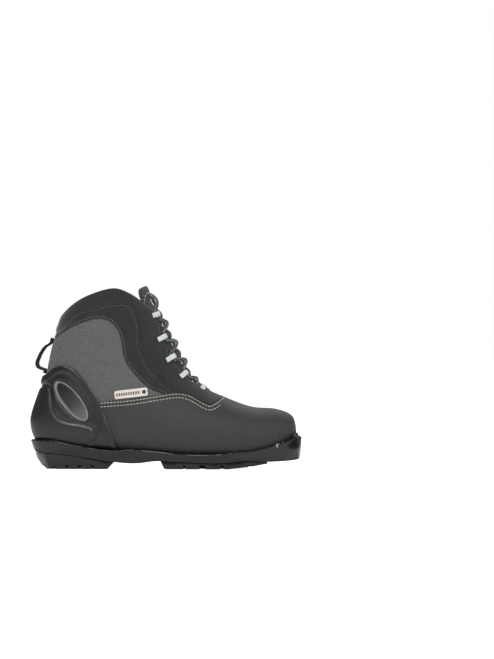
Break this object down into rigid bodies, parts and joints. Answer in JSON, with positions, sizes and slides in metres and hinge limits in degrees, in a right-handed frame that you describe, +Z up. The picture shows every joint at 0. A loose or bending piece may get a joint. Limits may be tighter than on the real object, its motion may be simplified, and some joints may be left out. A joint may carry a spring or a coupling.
{
  "type": "cross country ski boot",
  "caption": "Laced ankle-high ski touring boot, right foot, with moulded heel counter, toe bar, grooved lugged sole and pull loop.",
  "frame": {"origin": "on the ground under the middle of the boot's outer box", "axes": "+X towards the toe, +Y towards the inner (medial) side, +Z up"},
  "size_m": [0.2987, 0.1083, 0.198],
  "materials": {
    "synthetic_upper": "matte",
    "woven_grey": "woven",
    "felt_black": "felt",
    "gloss_black": "gloss",
    "tread_rubber": "gloss",
    "counter_plastic": "satin",
    "badge_plastic": "satin",
    "steel": "polished",
    "fibreboard": "matte",
    "foam": "foam with knitted face",
    "stiff_sheet": "matte",
    "white_tape": "woven",
    "black_tape": "woven",
    "lace_weave": "braided"
  },
  "bodies": {
    "boot": {"vamp": "synthetic_upper", "toe_puff": "stiff_sheet", "lasting_board": "fibreboard", "ankle_panel_lateral": "woven_grey", "ankle_panel_medial": "woven_grey", "collar_lateral": "felt_black", "collar_medial": "felt_black", "lining": "foam", "collar_padding": "foam", "heel_counter": "counter_plastic", "counter_badge": "badge_plastic", "side_label": "white_tape", "pull_loop": "black_tape", "lace_loop_lateral_1": "white_tape", "lace_loop_lateral_2": "white_tape", "lace_loop_lateral_3": "white_tape", "lace_loop_lateral_4": "white_tape", "lace_loop_lateral_5": "white_tape", "lace_loop_medial_1": "white_tape", "lace_loop_medial_2": "white_tape", "lace_loop_medial_3": "white_tape", "lace_loop_medial_4": "white_tape", "lace_loop_medial_5": "white_tape", "lace": "lace_weave", "lace_tip_lateral": "stiff_sheet", "lace_tip_medial": "stiff_sheet", "sole_chassis": "gloss_black", "toe_bar": "steel", "midsole_filler": "foam", "shank": "stiff_sheet", "heel_tread": "tread_rubber", "forefoot_tread": "tread_rubber"},
    "tongue": {"tongue": "woven_grey"},
    "footbed": {"footbed": "foam"}
  },
  "joints": [
    {"name": "tongue_fold", "type": "hinge", "parent": "boot", "child": "tongue", "pos_m": [0.07, 0, 0.068], "axis": [0, -1, 0], "range_deg": [0, 14]},
    {"name": "footbed_lift", "type": "slide", "parent": "boot", "child": "footbed", "axis": [0, 0, 1], "range_m": [0, 0.006]}
  ]
}
